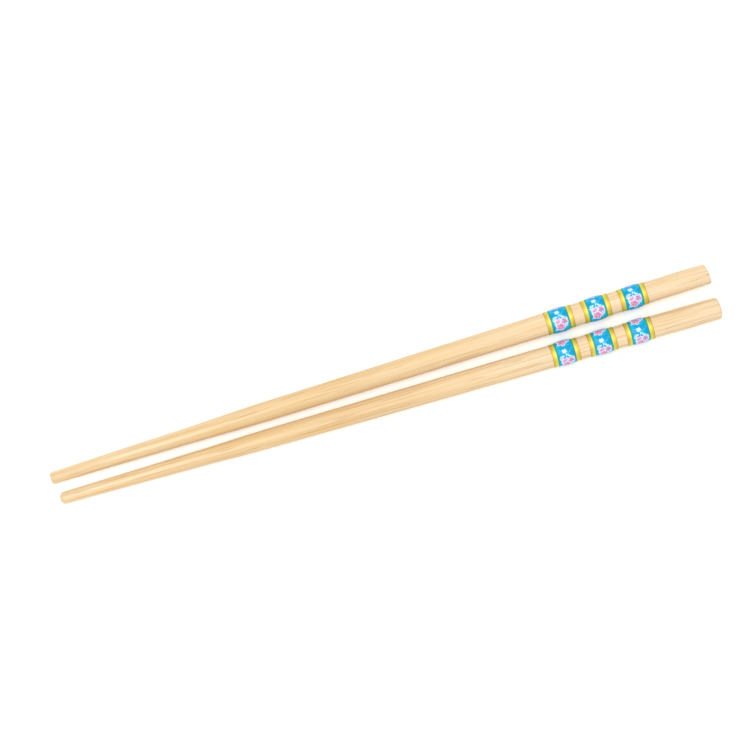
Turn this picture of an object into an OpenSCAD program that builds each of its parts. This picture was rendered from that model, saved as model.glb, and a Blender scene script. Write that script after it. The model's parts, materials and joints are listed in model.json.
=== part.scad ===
// A pair of turned bamboo chopsticks lying side by side.
// Each stick is one round turned piece. A slim tip widens through a soft flare into a long shaft,
// and the shaft rises to the grip, which thins again towards the handle end.
// Barrel beads stand out of the grip below a plain stub at the handle end.
// A printed film band is shrunk over each bead and over a ring of grip on either side of it.
// +X runs along the pair towards the handle ends, +Y towards the rear stick and +Z up.
// The pair rests on z = 0, where each stick lies on its lowest band and on its flare.

/* [Stick] */
// Length of a stick, from its tip to its handle end
stick_length = 240; // [200:1:300]
// Diameter of the tip's end
tip_d = 4.3; // [3.5:0.05:5]
// Length of the slim tip, up to the flare
tip_length = 46; // [30:1:70]
// Diameter at the waist, where the slim tip meets the flare
waist_d = 5.65; // [5:0.05:6.5]
// Length of the flare, from the waist to the shaft
flare_length = 34; // [15:1:60]
// Diameter at the flare's end, where the shaft begins
shaft_d = 6.9; // [6.6:0.05:7.4]
// Diameter of the grip at its thickest, at the lower edge of the last band
grip_d = 7.95; // [7.6:0.05:9]

/* [Ends] */
// Diameter of the rear stick's handle end
rear_end_d = 7.3; // [6.5:0.05:8]
// Diameter of the front stick's handle end
front_end_d = 7.75; // [6.5:0.05:8]
// Edge radius of the rear stick's handle end
rear_end_edge = 0.45; // [0.2:0.05:1.5]
// Edge radius of the front stick's handle end
front_end_edge = 0.9; // [0.2:0.05:1.5]
// Edge radius of the rear stick's tip
rear_tip_edge = 0.35; // [0.2:0.05:1.5]
// Edge radius of the front stick's tip
front_tip_edge = 1.4; // [0.2:0.05:1.5]

/* [Beads] */
// Number of beads on each stick, counted from the handle end
bead_count = 3; // [1:1:4]
// Length of plain stub between the rear stick's handle end and its first band
rear_stub = 22; // [12:0.1:30]
// Length of plain stub between the front stick's handle end and its first band
front_stub = 24.4; // [12:0.1:30]
// Distance from one bead's middle to the next
bead_pitch = 13.4; // [12:0.1:16]
// Length of a bead's barrel
bead_length = 6.6; // [4:0.1:7.4]
// Height of a bead's barrel above the grip
bead_rise = 0.42; // [0.2:0.02:1]

/* [Bands] */
// Width of the ring of grip that a band covers on either side of its bead
band_margin = 1.6; // [0.8:0.1:2]
// Thickness of the film
film = 0.08; // [0.04:0.01:0.2]
// Bond line between the film and the wood
bond = 0.02; // [0.01:0.01:0.05]

/* [Pair] */
// Distance between the two sticks' axes at the tips
tip_spacing = 7.8; // [6:0.1:12]
// Distance between the two sticks' axes at the handle ends
end_spacing = 12.6; // [10.5:0.1:20]
// How much nearer to the handle side the front stick lies
stagger = 1; // [0:0.1:5]

/* [Hidden] */
$fn = 128;

// Straight steps along the flare's curve
FLARE_STEPS = 16;
BAMBOO = "#f3d8ab";
TURQUOISE = "#1cb9e1";

// What differs between the sticks: side of the pair, stub, handle end's radius and the edge radii
REAR = [1, rear_stub, rear_end_d / 2, rear_end_edge, rear_tip_edge];
FRONT = [-1, front_stub, front_end_d / 2, front_end_edge, front_tip_edge];
function side(stick) = stick[0];
function stub(stick) = stick[1];
function end_r(stick) = stick[2];
function end_edge(stick) = stick[3];
function tip_edge(stick) = stick[4];

tip_r = tip_d / 2;
waist_r = waist_d / 2;
shaft_r = shaft_d / 2;
grip_r = grip_d / 2;
shaft_low = tip_length + flare_length;
band_length = bead_length + 2 * band_margin;

// The barrel is an arc through both of the bead's edges and its crown
bead_arc_r = (pow(bead_length / 2, 2) + pow(bead_rise, 2)) / (2 * bead_rise);
// Depth to which the sections of beads and bands reach into the grip
bead_root = grip_r / 4;

// Half the angle between the sticks, and the pair's run along X
yaw = asin((end_spacing - tip_spacing) / 2 / stick_length);
pair_run = stick_length * cos(yaw);

// Distance along the axis from the tip to the middle of bead i
function bead_at(stick, i) = stick_length - stub(stick) - band_length / 2 - (i - 1) * bead_pitch;

// Lower end of the grip, level with the last band's edge, and its upper end, where the end's edge begins
function grip_low(stick) = bead_at(stick, bead_count) - band_length / 2;
function grip_high(stick) = stick_length - end_edge(stick);

// Change of radius along the axis on the slim tip, the shaft and the grip
function tip_slope(stick) = (waist_r - tip_r) / (tip_length - tip_edge(stick));
function shaft_slope(stick) = (grip_r - shaft_r) / (grip_low(stick) - shaft_low);
function grip_slope(stick) = (end_r(stick) - grip_r) / (grip_high(stick) - grip_low(stick));

// Radius of the bare grip at distance z along the axis
function grip_at(stick, z) = grip_r + grip_slope(stick) * (z - grip_low(stick));

// The flare: a cubic that leaves the tip and joins the shaft at their own slopes, without a crease
function flare(stick) = [for (i = [0:FLARE_STEPS]) let (t = i / FLARE_STEPS) [
    waist_r * (1 - t) * (1 - t) * (1 + 2 * t) + shaft_r * t * t * (3 - 2 * t)
        + flare_length * t * (1 - t) * (tip_slope(stick) * (1 - t) - shaft_slope(stick) * t),
    tip_length + flare_length * t
]];

// Where the stick rests near its handle: the distance and the outer radius of the lowest band
function support_at(stick) = bead_at(stick, bead_count);
function support_r(stick) = grip_at(stick, support_at(stick)) + bead_rise + bond + film;

// The stick's lean at rest: the line from the lowest band that just touches the flare
function lean(stick) = atan(min([for (p = flare(stick)) (support_r(stick) - p.x) / (support_at(stick) - p.y)]));

// Section of a bead's barrel, grown by the given lift: height above the grip along x, length along y
module barrel_section(lift) {
    intersection() {
        translate([bead_rise - bead_arc_r, 0])
            circle(r = bead_arc_r + lift);
        translate([-bead_root, -band_length / 2])
            square([bead_root + bead_rise + lift, band_length]);
    }
}

// Section of a barrel with the ring of grip on either side of it, grown by the given lift
module wrapped_section(lift) {
    barrel_section(lift);
    translate([-bead_root, -band_length / 2])
        square([bead_root + lift, band_length]);
}

// Sets a section down on the grip line at bead i of a stick
module on_grip(stick, i) {
    translate([grip_at(stick, bead_at(stick, i)), bead_at(stick, i)])
        rotate(-atan(grip_slope(stick)))
            children();
}

// What is turned off an outer corner to leave a round edge of the given radius
module edge_waste(radius) {
    difference() {
        square(2 * radius);
        circle(r = radius);
    }
}

// Section of a stick without its beads: radius along x, distance from the tip along y
module shank_section(stick) {
    difference() {
        polygon(concat(
            [[0, 0], [tip_r, 0], [tip_r, tip_edge(stick)]],
            flare(stick),
            [[grip_r, grip_low(stick)], [end_r(stick), grip_high(stick)],
             [end_r(stick), stick_length], [0, stick_length]]
        ));
        translate([tip_r - tip_edge(stick), tip_edge(stick)])
            mirror([0, 1])
                edge_waste(tip_edge(stick));
        translate([end_r(stick) - end_edge(stick), grip_high(stick)])
            edge_waste(end_edge(stick));
    }
}

// A whole stick, standing on its tip
module turned_stick(stick) {
    rotate_extrude() {
        shank_section(stick);
        for (i = [1:bead_count])
            on_grip(stick, i)
                barrel_section(0);
    }
}

// The film over bead i of a stick that stands on its tip
module film_band(stick, i) {
    rotate_extrude()
        on_grip(stick, i)
            difference() {
                wrapped_section(bond + film);
                wrapped_section(bond);
            }
}

// Lays a standing stick down at its place in the pair, on its lowest band and its flare
module lay(stick) {
    tilt = lean(stick);
    translate([
        -(pair_run + side(stick) * stagger) / 2,
        side(stick) * tip_spacing / 2,
        support_r(stick) * cos(tilt) - support_at(stick) * sin(tilt)
    ])
        rotate([0, 90 - tilt, side(stick) * yaw])
            children();
}

module rear_stick() {
    color(BAMBOO)
        lay(REAR)
            turned_stick(REAR);
}

module front_stick() {
    color(BAMBOO)
        lay(FRONT)
            turned_stick(FRONT);
}

module rear_band(i) {
    color(TURQUOISE)
        lay(REAR)
            film_band(REAR, i);
}

module front_band(i) {
    color(TURQUOISE)
        lay(FRONT)
            film_band(FRONT, i);
}

rear_stick();
front_stick();
for (i = [1:bead_count]) {
    rear_band(i);
    front_band(i);
}
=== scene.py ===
import json
import math

import bpy
from mathutils import Euler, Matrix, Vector


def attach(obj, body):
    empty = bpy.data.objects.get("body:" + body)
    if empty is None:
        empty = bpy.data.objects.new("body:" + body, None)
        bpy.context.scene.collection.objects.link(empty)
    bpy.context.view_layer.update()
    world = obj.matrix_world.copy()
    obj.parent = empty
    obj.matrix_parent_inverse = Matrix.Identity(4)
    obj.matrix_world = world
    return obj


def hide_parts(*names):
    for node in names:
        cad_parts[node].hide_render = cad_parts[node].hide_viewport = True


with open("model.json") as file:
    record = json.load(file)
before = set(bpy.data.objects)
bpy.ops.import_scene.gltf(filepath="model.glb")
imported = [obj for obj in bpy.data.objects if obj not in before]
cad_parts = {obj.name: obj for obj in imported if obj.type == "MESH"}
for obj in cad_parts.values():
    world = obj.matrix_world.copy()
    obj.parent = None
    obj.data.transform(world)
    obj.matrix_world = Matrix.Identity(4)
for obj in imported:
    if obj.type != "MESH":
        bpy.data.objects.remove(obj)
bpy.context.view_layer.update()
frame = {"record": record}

# The two sticks: each is one strip of bamboo, turned round on a lathe and sanded.
# A slim tip widens through a soft flare into the shaft, and the shaft rises to the grip with its three
# barrel beads. The wood has a thin coat of clear satin oil and keeps its straight fibres in view.
MM = 0.001
LENGTH = 240.0
TIP_R = 2.15
TIP_LENGTH = 46.0
WAIST_R = 2.825
FLARE_LENGTH = 34.0
SHAFT_R = 3.45
GRIP_R = 3.975
BEAD_PITCH = 13.4
BEAD_LENGTH = 6.6
BEAD_RISE = 0.42
BEAD_ARC = ((BEAD_LENGTH / 2) ** 2 + BEAD_RISE ** 2) / (2 * BEAD_RISE)
BAND_LENGTH = 9.8
# Steps of the mesh round a stick and along each of its parts
ROUND_STEPS = 120
EDGE_STEPS = 8
TIP_STEPS = 20
FLARE_STEPS = 16
SHAFT_STEPS = 30
BEAD_STEPS = 8
STUB_STEPS = 10
# A ring of points inside each end's flat face, as a share of the face's radius
FACE_RING = 0.6
# Points closer together than this are one point, and edges sharper than the angle below stay sharp
WELD = 0.002 * MM
SHARP_ANGLE = math.radians(35)

STICKS = {
    "rear": {"end_r": 3.65, "end_edge": 0.45, "tip_edge": 0.35, "stub": 22.0, "saw_lean": 7.5,
             "grain": (-20, 3, 5)},
    "front": {"end_r": 3.875, "end_edge": 0.9, "tip_edge": 1.4, "stub": 24.4, "saw_lean": 1.0,
              "grain": (35, 11, -7)},
}
for mount in frame["record"]["mounts"]:
    stick = STICKS[mount["name"].split("_")[0]]
    along = stick["along"] = Vector(mount["axis"]).normalized()
    stick["tip"] = Vector(mount["pos_m"]) - along * LENGTH * MM
    stick["turn"] = (0.0, -math.asin(along.z), math.atan2(along.y, along.x))
    stick["beads"] = [LENGTH - stick["stub"] - BAND_LENGTH / 2 - i * BEAD_PITCH for i in range(3)]
    stick["grip_low"] = stick["beads"][-1] - BAND_LENGTH / 2
    stick["grip_high"] = LENGTH - stick["end_edge"]
    stick["grip_slope"] = (stick["end_r"] - GRIP_R) / (stick["grip_high"] - stick["grip_low"])


def grip_at(stick, z):
    """Radius of the bare grip at distance z from the tip."""
    return GRIP_R + stick["grip_slope"] * (z - stick["grip_low"])


def barrel_at(y):
    """Height of a bead's arc above the grip at distance y from the bead's middle."""
    return math.sqrt(BEAD_ARC ** 2 - y * y) + BEAD_RISE - BEAD_ARC


def stick_outline(stick):
    """Points (distance from the tip, radius) in millimetres, from the tip's middle to the handle end's."""
    edge, end_edge, low = stick["tip_edge"], stick["end_edge"], stick["grip_low"]
    tip_slope = (WAIST_R - TIP_R) / (TIP_LENGTH - edge)
    shaft_start = TIP_LENGTH + FLARE_LENGTH
    shaft_slope = (GRIP_R - SHAFT_R) / (low - shaft_start)
    points = [(0, 0), (0, (TIP_R - edge) * FACE_RING)]
    for i in range(EDGE_STEPS + 1):
        a = math.radians(90 * i / EDGE_STEPS)
        points.append((edge * (1 - math.cos(a)), TIP_R - edge + edge * math.sin(a)))
    for i in range(1, TIP_STEPS + 1):
        z = edge + (TIP_LENGTH - edge) * i / TIP_STEPS
        points.append((z, TIP_R + tip_slope * (z - edge)))
    for i in range(1, FLARE_STEPS + 1):
        t = i / FLARE_STEPS
        radius = WAIST_R * (1 - t) ** 2 * (1 + 2 * t) + SHAFT_R * t * t * (3 - 2 * t)
        radius += FLARE_LENGTH * t * (1 - t) * (tip_slope * (1 - t) - shaft_slope * t)
        points.append((TIP_LENGTH + FLARE_LENGTH * t, radius))
    for i in range(1, SHAFT_STEPS + 1):
        z = shaft_start + (low - shaft_start) * i / SHAFT_STEPS
        points.append((z, SHAFT_R + shaft_slope * (z - shaft_start)))
    for bead in reversed(stick["beads"]):
        for i in range(-BEAD_STEPS, BEAD_STEPS + 1):
            y = BEAD_LENGTH / 2 * i / BEAD_STEPS
            points.append((bead + y, grip_at(stick, bead + y) + barrel_at(y)))
    last = points[-1][0]
    for i in range(1, STUB_STEPS):
        z = last + (stick["grip_high"] - last) * i / STUB_STEPS
        points.append((z, grip_at(stick, z)))
    for i in range(EDGE_STEPS + 1):
        a = math.radians(90 * i / EDGE_STEPS)
        points.append((LENGTH - end_edge * (1 - math.sin(a)), stick["end_r"] - end_edge * (1 - math.cos(a))))
    return points + [(LENGTH, (stick["end_r"] - end_edge) * FACE_RING), (LENGTH, 0)]


def turn_on_lathe(name, outline, stick):
    """Draws an outline point by point, spins it round the axis and lays it down where the stick lies."""
    bpy.ops.object.select_all(action="DESELECT")
    bpy.ops.mesh.primitive_plane_add(size=MM, location=(0, 0, 0))
    piece = bpy.context.object
    piece.name = piece.data.name = name
    bpy.ops.object.mode_set(mode="EDIT")
    bpy.ops.mesh.select_all(action="SELECT")
    bpy.ops.mesh.merge(type="CENTER")
    bpy.ops.transform.translate(value=(outline[0][0] * MM, 0, outline[0][1] * MM))
    for (z0, r0), (z1, r1) in zip(outline, outline[1:]):
        step = ((z1 - z0) * MM, 0, (r1 - r0) * MM)
        bpy.ops.mesh.extrude_region_move(TRANSFORM_OT_translate={"value": step})
    bpy.ops.mesh.select_all(action="SELECT")
    bpy.ops.mesh.spin(steps=ROUND_STEPS, angle=math.tau, center=(0, 0, 0), axis=(1, 0, 0))
    bpy.ops.mesh.select_all(action="SELECT")
    bpy.ops.mesh.remove_doubles(threshold=WELD)
    bpy.ops.mesh.normals_make_consistent(inside=False)
    bpy.ops.object.mode_set(mode="OBJECT")
    bpy.ops.object.shade_smooth_by_angle(angle=SHARP_ANGLE)
    piece.location = stick["tip"]
    piece.rotation_euler = stick["turn"]
    bpy.ops.object.transform_apply(location=True, rotation=True, scale=True)
    return piece


def colour(code):
    """Linear colour of an sRGB hex value."""
    parts = [int(code[i:i + 2], 16) / 255 for i in (1, 3, 5)]
    return [c / 12.92 if c <= 0.04045 else ((c + 0.055) / 1.055) ** 2.4 for c in parts] + [1.0]


def add(tree, kind, links, **settings):
    """Adds a node, gives its sockets values or links, and returns it."""
    node = tree.nodes.new("ShaderNode" + kind)
    for key, value in settings.items():
        setattr(node, key, value)
    for key, value in links.items():
        if isinstance(value, bpy.types.NodeSocket):
            tree.links.new(value, node.inputs[key])
        else:
            node.inputs[key].default_value = value
    return node


def new_material(name):
    """Adds a material and returns it with its node tree and its shader."""
    material = bpy.data.materials.new(name)
    material.use_nodes = True
    return material, material.node_tree, material.node_tree.nodes["Principled BSDF"]


def bamboo_wood(name, stick):
    """Oiled bamboo: a cream ground with tan fibre bundles, lines along the stick and dots on its ends."""
    material, tree, shader = new_material(name)
    place = add(tree, "TexCoord", {}).outputs["Object"]
    lie = {"Vector": place, "Location": stick["tip"], "Rotation": stick["turn"]}
    # Each stick is cut from another part of the culm, so its fibres start elsewhere
    cut = {**lie, "Location": stick["tip"] + Vector(stick["grain"]) * MM}
    # Fibre bundles: 0.75 mm apart, a little coarser than real ones so that they show, and about 90 mm long
    bundle = add(tree, "Mapping", {**cut, "Scale": (90 * MM, 0.75 * MM, 0.75 * MM)}, vector_type="TEXTURE")
    cells = add(tree, "TexVoronoi", {"Vector": bundle.outputs[0], "Scale": 1.0}, feature="F1")
    strand = add(tree, "MapRange", {0: cells.outputs["Distance"], 1: 0.44, 2: 0.2, 3: 0.0, 4: 1.0})
    # Streaks of tone about 1.4 mm wide and 70 mm long
    streak = add(tree, "Mapping", {**cut, "Scale": (70 * MM, 1.4 * MM, 1.4 * MM)}, vector_type="TEXTURE")
    streaks = add(tree, "TexNoise", {"Vector": streak.outputs[0], "Scale": 1.0, "Detail": 5.0,
                                     "Roughness": 0.62})
    # Thin brown vessels, 0.45 mm wide and about 20 mm long, drawn coarser than real ones too
    vessel = add(tree, "Mapping", {**cut, "Scale": (20 * MM, 0.45 * MM, 0.45 * MM)}, vector_type="TEXTURE")
    vessels = add(tree, "TexNoise", {"Vector": vessel.outputs[0], "Scale": 1.0, "Detail": 2.0})
    brown = add(tree, "MapRange", {0: vessels.outputs["Fac"], 1: 0.6, 2: 0.74, 3: 0.0, 4: 0.6})
    # Distance from the tip in millimetres: the flare is a deeper honey colour than the grip and the tip
    along = add(tree, "Mapping", {**lie, "Scale": (MM, MM, MM)}, vector_type="TEXTURE")
    split = add(tree, "SeparateXYZ", {0: along.outputs[0]})
    honey = add(tree, "MapRange", {0: split.outputs["X"], 1: 215.0, 2: 85.0, 3: 0.0, 4: 1.0},
                interpolation_type="SMOOTHSTEP")
    worn = add(tree, "MapRange", {0: split.outputs["X"], 1: 10.0, 2: 60.0, 3: 0.45, 4: 1.0})
    deep = add(tree, "Math", {0: honey.outputs[0], 1: worn.outputs[0]}, operation="MULTIPLY")
    ground = add(tree, "Mix", {0: deep.outputs[0], 6: colour("#f1d9b4"), 7: colour("#e2c08a")},
                 data_type="RGBA")
    toned = add(tree, "MapRange", {0: streaks.outputs["Fac"], 1: 0.32, 2: 0.68, 3: 0.0, 4: 0.5})
    pale = add(tree, "Mix", {0: toned.outputs[0], 6: ground.outputs[2], 7: colour("#f5e0be")},
               data_type="RGBA")
    # The wood shifts a little from straw to apricot, in patches about 25 mm long and 2 mm wide
    patch = add(tree, "Mapping", {**cut, "Scale": (25 * MM, 2 * MM, 2 * MM)}, vector_type="TEXTURE")
    patches = add(tree, "TexNoise", {"Vector": patch.outputs[0], "Scale": 1.0, "Detail": 1.0})
    blush = add(tree, "MapRange", {0: patches.outputs["Fac"], 1: 0.36, 2: 0.64, 3: 0.0, 4: 1.0})
    tinted = add(tree, "Mix", {0: blush.outputs[0], 6: pale.outputs[2], 7: colour("#fff9ed")},
                 data_type="RGBA", blend_type="MULTIPLY")
    # Fine fibres 0.3 mm wide, the hair lines between the bundles
    hair = add(tree, "Mapping", {**cut, "Scale": (45 * MM, 0.3 * MM, 0.3 * MM)}, vector_type="TEXTURE")
    hairs = add(tree, "TexNoise", {"Vector": hair.outputs[0], "Scale": 1.0, "Detail": 1.0})
    fine = add(tree, "MapRange", {0: hairs.outputs["Fac"], 1: 0.5, 2: 0.66, 3: 0.0, 4: 0.26})
    fined = add(tree, "Mix", {0: fine.outputs[0], 6: tinted.outputs[2], 7: colour("#d6a970")},
                data_type="RGBA")
    # On a sawn end the bundles are cut across, and show as dense brown dots
    middle = add(tree, "Math", {0: split.outputs["X"], 1: LENGTH / 2}, operation="SUBTRACT")
    to_end = add(tree, "Math", {0: middle.outputs[0]}, operation="ABSOLUTE")
    sawn = add(tree, "MapRange", {0: to_end.outputs[0], 1: LENGTH / 2 - 0.5, 2: LENGTH / 2 - 0.1,
                                  3: 0.26, 4: 0.85})
    depth = add(tree, "Math", {0: strand.outputs[0], 1: sawn.outputs[0]}, operation="MULTIPLY")
    strands = add(tree, "Mix", {0: depth.outputs[0], 6: fined.outputs[2], 7: colour("#c08d55")},
                  data_type="RGBA")
    lines = add(tree, "Mix", {0: brown.outputs[0], 6: strands.outputs[2], 7: colour("#b57f47")},
                data_type="RGBA")
    tree.links.new(lines.outputs[2], shader.inputs["Base Color"])
    # The slim end is sanded finer than the grip, so it takes a clearer highlight
    sanded = add(tree, "MapRange", {0: split.outputs["X"], 1: 45.0, 2: 130.0, 3: 0.23, 4: 0.66})
    satin = add(tree, "Math", {0: streaks.outputs["Fac"], 1: 0.14, 2: sanded.outputs[0]},
                operation="MULTIPLY_ADD")
    tree.links.new(satin.outputs[0], shader.inputs["Roughness"])
    relief = add(tree, "Math", {0: strand.outputs[0], 1: vessels.outputs["Fac"]}, operation="ADD")
    bump = add(tree, "Bump", {"Strength": 0.3, "Distance": 0.05 * MM, "Height": relief.outputs[0]})
    tree.links.new(bump.outputs[0], shader.inputs["Normal"])
    shader.inputs["IOR"].default_value = 1.5
    shader.inputs["Coat Weight"].default_value = 0.04
    shader.inputs["Coat Roughness"].default_value = 0.3
    return material


def saw_end(piece, stick):
    """Leans the handle end's face, which was sawn a little off square from its rear edge."""
    across = Vector((0, 1, 0))
    across.rotate(Euler(stick["turn"]))
    end = stick["tip"] + stick["along"] * LENGTH * MM
    pivot = end + across * stick["end_r"] * MM
    bpy.ops.object.mode_set(mode="EDIT")
    bpy.ops.mesh.select_all(action="DESELECT")
    bpy.ops.object.mode_set(mode="OBJECT")
    # The face and its round edge, with a little to spare
    depth = (stick["end_edge"] + 0.05) * MM
    for vertex in piece.data.vertices:
        vertex.select = (end - vertex.co).dot(stick["along"]) < depth
    bpy.ops.object.mode_set(mode="EDIT")
    bpy.ops.transform.rotate(value=-math.radians(stick["saw_lean"]), orient_axis="Z", center_override=pivot)
    bpy.ops.object.mode_set(mode="OBJECT")


def sand_by_hand(piece, stick):
    """Leaves the bare wood up to 0.06 mm out of true, and the beads and both ends as they were turned."""
    true_tip, true_bead, true_end, fade = 1.5, 5.0, 3.0, 6.0
    bare = piece.vertex_groups.new(name="bare_wood")
    for vertex in piece.data.vertices:
        z = (vertex.co - stick["tip"]).dot(stick["along"]) / MM
        shank = min(z - true_tip, stick["grip_low"] - z)
        stub = min(z - stick["beads"][0] - true_bead, LENGTH - true_end - z)
        bare.add([vertex.index], min(max(shank / fade, stub / fade, 0.0), 1.0), "REPLACE")
    unevenness = bpy.data.textures.new(piece.name + "_unevenness", "CLOUDS")
    unevenness.noise_scale = 14 * MM
    sanding = piece.modifiers.new("sanding", "DISPLACE")
    sanding.texture, sanding.texture_coords = unevenness, "LOCAL"
    sanding.vertex_group, sanding.mid_level, sanding.strength = "bare_wood", 0.5, 0.16 * MM
    bpy.context.view_layer.objects.active = piece
    bpy.ops.object.modifier_apply(modifier="sanding")


for side, stick in STICKS.items():
    bamboo = turn_on_lathe(side + "_bamboo", stick_outline(stick), stick)
    saw_end(bamboo, stick)
    sand_by_hand(bamboo, stick)
    bamboo.data.materials.append(bamboo_wood(side + "_oiled_bamboo", stick))
    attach(bamboo, "root")
    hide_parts(side + "_stick")

# The six bands: printed metallised film, wrapped round each bead and shrunk down on to it.
# The print is turquoise with pink and white blossoms between two gold edges, and the gold edges lie
# flat on the grip on either side of the barrel.
FILM = 0.08
BOND = 0.02
FILM_STEPS = 28
# Softness of the film's bend at the foot of a bead
BEND = 0.04
CLUSTERS_ROUND = 3
PETALS = 5
# Depth of the clefts between petals, as a share of a blossom's radius
CLEFT = 0.42
BAND_R = 4.45
GOLD_METALLIC = 0.85
PRINT_TURN = {"rear": -24.0, "front": -54.0}


def film_outline(stick, bead):
    """Closed section of a band: its outer face towards the handle, and its inner face back."""
    slope = math.atan(stick["grip_slope"])
    outer, inner = [], []
    for i in range(-FILM_STEPS, FILM_STEPS + 1):
        y = BAND_LENGTH / 2 * i / FILM_STEPS
        rise = (barrel_at(y) + math.hypot(barrel_at(y), BEND)) / 2
        for lift, face in ((BOND + FILM, outer), (BOND, inner)):
            h = rise + lift
            z = bead + y * math.cos(slope) - h * math.sin(slope)
            face.append((z, grip_at(stick, bead) + y * math.sin(slope) + h * math.cos(slope)))
    return outer + inner[::-1] + outer[:1]


def printed_film(name, stick, turn):
    """Glossy printed film: flat inks on turquoise between two edges of bright gold foil."""
    material, tree, shader = new_material(name)
    place = add(tree, "TexCoord", {}).outputs["Object"]
    lie = {"Vector": place, "Location": stick["tip"], "Rotation": stick["turn"], "Scale": (MM, MM, MM)}
    local = add(tree, "Mapping", lie, vector_type="TEXTURE")
    split = add(tree, "SeparateXYZ", {0: local.outputs[0]})
    # Millimetres along the band from its middle, and round it from a cluster's middle
    past = add(tree, "Math", {0: split.outputs["X"], 1: stick["beads"][-1] - BEAD_PITCH / 2},
               operation="SUBTRACT")
    cell = add(tree, "Math", {0: past.outputs[0], 1: BEAD_PITCH}, operation="FLOORED_MODULO")
    x = add(tree, "Math", {0: cell.outputs[0], 1: BEAD_PITCH / 2}, operation="SUBTRACT").outputs[0]
    angle = add(tree, "Math", {0: split.outputs["Y"], 1: split.outputs["Z"]}, operation="ARCTAN2")
    arc = add(tree, "Math", {0: angle.outputs[0], 1: BAND_R, 2: -math.radians(turn) * BAND_R},
              operation="MULTIPLY_ADD")
    # A cluster's cell reaches further on the side of its small blossom
    repeat = math.tau * BAND_R / CLUSTERS_ROUND
    round_cell = {0: arc.outputs[0], 1: repeat * 0.72, 2: -repeat * 0.28}
    t = add(tree, "Math", round_cell, operation="WRAP").outputs[0]
    drawn = add(tree, "CombineXYZ", {0: x, 1: t}).outputs[0]
    # The design is drawn by hand, so its outlines waver by about 0.1 mm
    waver = add(tree, "TexNoise", {"Vector": drawn, "Scale": 1.1, "Detail": 1.0}).outputs["Color"]
    wander = add(tree, "VectorMath", {0: waver, 1: (0.5, 0.5, 0.5)}, operation="SUBTRACT").outputs[0]
    sway = {0: wander, 1: (0.7, 0.7, 0.0), 2: drawn}
    spot = add(tree, "VectorMath", sway, operation="MULTIPLY_ADD").outputs[0]

    def blossom(at, radius, lean):
        """How far a point lies inside a five-petalled blossom, and from its eye, in millimetres."""
        ray = add(tree, "VectorMath", {0: spot, 1: (at[0], at[1], 0)}, operation="SUBTRACT").outputs[0]
        reach = add(tree, "VectorMath", {0: ray}, operation="LENGTH").outputs["Value"]
        parts = add(tree, "SeparateXYZ", {0: ray}).outputs
        round_eye = add(tree, "Math", {0: parts["Y"], 1: parts["X"]}, operation="ARCTAN2")
        petal_turn = add(tree, "Math", {0: round_eye.outputs[0], 1: PETALS / 2, 2: lean},
                         operation="MULTIPLY_ADD")
        wave = add(tree, "Math", {0: petal_turn.outputs[0]}, operation="COSINE")
        lobe = add(tree, "Math", {0: wave.outputs[0]}, operation="ABSOLUTE")
        soft = add(tree, "Math", {0: lobe.outputs[0], 1: 0.6}, operation="POWER")
        edge = add(tree, "Math", {0: soft.outputs[0], 1: CLEFT * radius, 2: (1 - CLEFT) * radius},
                   operation="MULTIPLY_ADD")
        inside = add(tree, "Math", {0: edge.outputs[0], 1: reach}, operation="SUBTRACT").outputs[0]
        return inside, reach

    def leaf(at, long, wide, lean):
        """How far inside a leaf a point lies, from 1 at its middle to 0 at its edge."""
        ray = add(tree, "Mapping", {"Vector": spot, "Location": (at[0], at[1], 0),
                                    "Rotation": (0, 0, math.radians(lean)), "Scale": (long, wide, 1)},
                  vector_type="TEXTURE")
        reach = add(tree, "VectorMath", {0: ray.outputs[0]}, operation="LENGTH").outputs["Value"]
        return add(tree, "Math", {0: 1.0, 1: reach}, operation="SUBTRACT").outputs[0]

    def ink(under, mask, low, high, code, strength=1.0):
        """Prints a colour over what is under it, where mask rises from low to high."""
        cover = add(tree, "MapRange", {0: mask, 1: low, 2: high, 3: 0.0, 4: strength},
                    interpolation_type="SMOOTHSTEP")
        over = colour(code) if isinstance(code, str) else code
        return add(tree, "Mix", {0: cover.outputs[0], 6: under, 7: over}, data_type="RGBA").outputs[2]

    cloud = add(tree, "TexNoise", {"Vector": spot, "Scale": 0.4, "Detail": 1.0}).outputs["Fac"]
    wash = add(tree, "TexNoise", {"Vector": spot, "Scale": 1.5, "Detail": 2.0}).outputs["Fac"]
    print_colour = ink(colour("#009bd3"), cloud, 0.38, 0.62, "#0cbbdf")
    # Leaves, and wisps of white close to the cluster
    for at, long, wide, lean, code in (
        ((-1.7, 3.05), 1.0, 0.5, 20, "#8fdcec"), ((0.8, 3.1), 0.9, 0.42, -35, "#7ad4ea"),
        ((2.0, -0.6), 0.8, 0.45, 65, "#bfe6f4"), ((-2.2, -1.9), 0.8, 0.42, 60, "#5fcde6"),
        ((1.7, -2.5), 0.8, 0.4, -50, "#48bfe0"),
        ((1.3, 4.3), 0.9, 0.22, 35, "#3fc4e4"), ((-1.7, 5.3), 0.8, 0.2, -40, "#3fc4e4"),
        ((-2.0, 1.95), 0.9, 0.24, -38, "#e6f5fc"), ((-1.5, 2.85), 1.0, 0.2, 18, "#e6f5fc"),
        ((1.1, 2.75), 1.0, 0.22, -22, "#e6f5fc"), ((0.0, 3.3), 0.7, 0.16, 65, "#d8effa"),
        ((2.2, 0.0), 0.7, 0.17, 80, "#e6f5fc"),
    ):
        print_colour = ink(print_colour, leaf(at, long, wide, lean), 0.0, 0.3, code)
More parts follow.
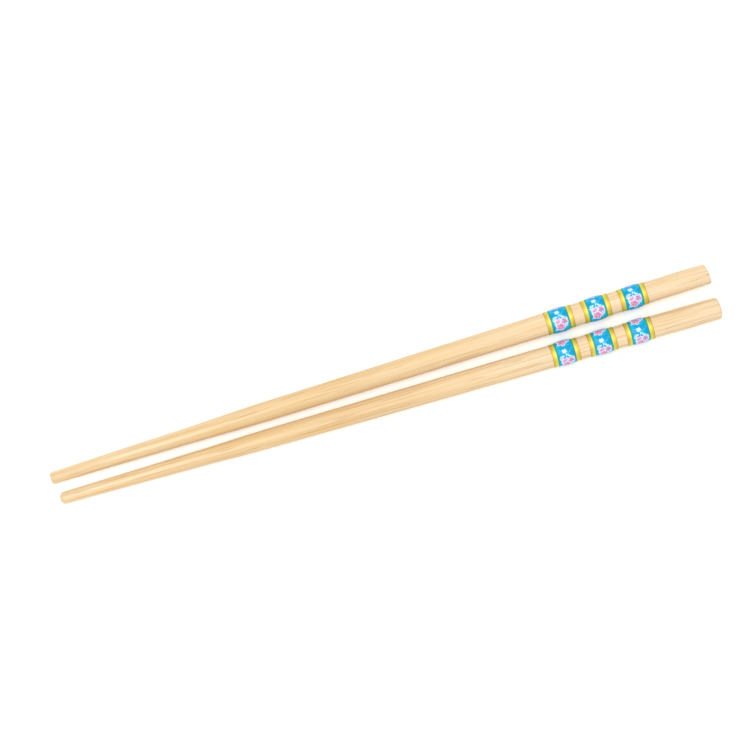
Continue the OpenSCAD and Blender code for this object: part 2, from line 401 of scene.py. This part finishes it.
    # A small white blossom by itself, and the cluster's three pink ones
    for at, radius, lean, rim, petal, heart in (
        ((-0.4, 4.75), 0.68, 0.4, "#9fdff2", "#e6f6fd", "#cfeaf7"),
        ((-0.8, 1.05), 1.2, 0.9, "#dde4f7", "#e4b4d8", "#c87db6"),
        ((-0.4, -0.8), 1.55, 0.2, "#e2e6f8", "#e298c6", "#c05193"),
        ((1.3, 1.0), 1.15, 1.2, "#e6e4f8", "#c88fca", "#9d579c"),
    ):
        inside, reach = blossom(at, radius, lean)
        print_colour = ink(print_colour, inside, -0.36 * radius ** 0.5, -0.24 * radius ** 0.5, rim)
        petals = ink(colour(petal), inside, radius * 0.3, radius * 0.8, heart, 0.9)
        petals = ink(petals, wash, 0.5, 0.64, heart, 0.6)
        petals = ink(petals, wash, 0.44, 0.34, rim, 0.7)
        print_colour = ink(print_colour, inside, -0.05, 0.14, petals)
        print_colour = ink(print_colour, reach, radius * 0.16, radius * 0.1, "#f2d98c")

    # Gold edges: an outer line of deeper gold, a pale inner half, and a thin green line at the turquoise
    from_middle = add(tree, "Math", {0: x}, operation="ABSOLUTE").outputs[0]
    for low, high, code, strength in (
        (2.5, 2.9, "#1a9d9b", 0.8), (2.9, 3.08, "#3f9468", 0.9), (3.23, 3.35, "#ebea86", 1.0),
        (3.7, 4.1, "#ecd75c", 1.0), (4.5, 4.75, "#dab463", 1.0),
    ):
        print_colour = ink(print_colour, from_middle, low, high, code, strength)
    # The film's ends lap by a hair under the stick
    round_under = add(tree, "Math", {0: angle.outputs[0]}, operation="ABSOLUTE").outputs[0]
    print_colour = ink(print_colour, round_under, math.pi - 0.03, math.pi - 0.02, "#0b6f8c", 0.5)
    foil = add(tree, "MapRange", {0: from_middle, 1: 3.22, 2: 3.32, 3: 0.0, 4: GOLD_METALLIC}).outputs[0]
    tree.links.new(print_colour, shader.inputs["Base Color"])
    tree.links.new(foil, shader.inputs["Metallic"])
    gloss = add(tree, "MapRange", {0: foil, 1: 0.0, 2: GOLD_METALLIC, 3: 0.38, 4: 0.68})
    tree.links.new(gloss.outputs[0], shader.inputs["Roughness"])
    # Seen at a glancing angle, the foil turns dark olive
    glance = add(tree, "Mix", {0: foil, 6: colour("#ffffff"), 7: colour("#000000")}, data_type="RGBA")
    tree.links.new(glance.outputs[2], shader.inputs["Specular Tint"])
    # Fine puckers where the film is shrunk down
    pucker = add(tree, "Mapping", {**lie, "Scale": (2.2 * MM, 0.9 * MM, 0.9 * MM)}, vector_type="TEXTURE")
    ripple = add(tree, "TexNoise", {"Vector": pucker.outputs[0], "Scale": 1.0, "Detail": 2.0})
    bump = add(tree, "Bump", {"Strength": 0.15, "Distance": 0.03 * MM, "Height": ripple.outputs["Fac"]})
    tree.links.new(bump.outputs[0], shader.inputs["Normal"])
    shader.inputs["IOR"].default_value = 1.5
    shader.inputs["Specular IOR Level"].default_value = 0.25
    shader.inputs["Coat Weight"].default_value = 0.05
    shader.inputs["Coat Roughness"].default_value = 0.12
    return material


for side, stick in STICKS.items():
    film = printed_film(side + "_printed_film", stick, PRINT_TURN[side])
    for number, bead in enumerate(stick["beads"], 1):
        band = turn_on_lathe(f"{side}_film_{number}", film_outline(stick, bead), stick)
        band.data.materials.append(film)
        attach(band, "root")
        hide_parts(f"{side}_band_{number}")

# The table: a plain sheet of matt white acrylic, which the sticks touch at their lowest bands and flares.
# It is lit a little from below, as a light table is, so that the pair's shadows stay pale.
bpy.ops.object.select_all(action="DESELECT")
bpy.ops.mesh.primitive_plane_add(size=4.0, location=(0, 0, 0))
table = bpy.context.object
table.name = table.data.name = "white_table"
bpy.ops.object.mode_set(mode="EDIT")
bpy.ops.mesh.subdivide(number_cuts=3)
bpy.ops.object.mode_set(mode="OBJECT")
acrylic, tree, shader = new_material("matt_white_acrylic")
spread = add(tree, "TexCoord", {}).outputs["Object"]
# A grain of about a millimetre, which is hardly seen
grain = add(tree, "TexNoise", {"Vector": spread, "Scale": 900.0, "Detail": 2.0})
tint = add(tree, "Mix", {0: grain.outputs["Fac"], 6: colour("#f6f6f5"), 7: colour("#f9f9f8")},
           data_type="RGBA")
tree.links.new(tint.outputs[2], shader.inputs["Base Color"])
shader.inputs["Roughness"].default_value = 0.9
shader.inputs["Specular IOR Level"].default_value = 0.1
shader.inputs["Emission Color"].default_value = colour("#ffffff")
shader.inputs["Emission Strength"].default_value = 0.15
table.data.materials.append(acrylic)

# The light: a bright white room, which lights the sticks evenly from all sides.
# One wide soft box hangs above the pair and gives the soft highlight along the slim ends.
world = bpy.data.worlds.new("white_room")
world.use_nodes = True
room = world.node_tree.nodes["Background"]
room.inputs["Color"].default_value = colour("#ffffff")
room.inputs["Strength"].default_value = 0.6
bpy.context.scene.world = world
bpy.context.scene.view_settings.view_transform = "Standard"
bpy.ops.object.light_add(type="AREA", location=(-0.08, 0.08, 0.95))
soft_box = bpy.context.object
soft_box.name = "soft_box"
soft_box.data.shape = "RECTANGLE"
soft_box.data.size, soft_box.data.size_y = 0.7, 0.6
soft_box.data.energy = 6.1
soft_box.rotation_euler = (Vector((0, 0, 0)) - soft_box.location).to_track_quat("-Z", "Y").to_euler()

# The camera: it looks straight down from above, turned so that the pair rises to the right.
# A long lens keeps the two sticks' outlines straight and their widths true.
ROLL = math.radians(16.77)
FRAME_WIDTH = 264.5 * MM
LENS, SENSOR = 85.0, 36.0
SHIFT_RIGHT, SHIFT_UP = -2.0 * MM, 4.2 * MM
STICK_HEIGHT = 4.5 * MM
bpy.ops.object.camera_add(location=(0, 0, 0))
camera = bpy.context.object
camera.data.lens, camera.data.sensor_width = LENS, SENSOR
right = Vector((math.cos(ROLL), -math.sin(ROLL), 0))
up = Vector((math.sin(ROLL), math.cos(ROLL), 0))
camera.location = right * SHIFT_RIGHT + up * SHIFT_UP
camera.location.z = FRAME_WIDTH * LENS / SENSOR + STICK_HEIGHT
camera.rotation_euler = (0, 0, -ROLL)
camera.data.dof.use_dof = False
bpy.context.scene.camera = camera
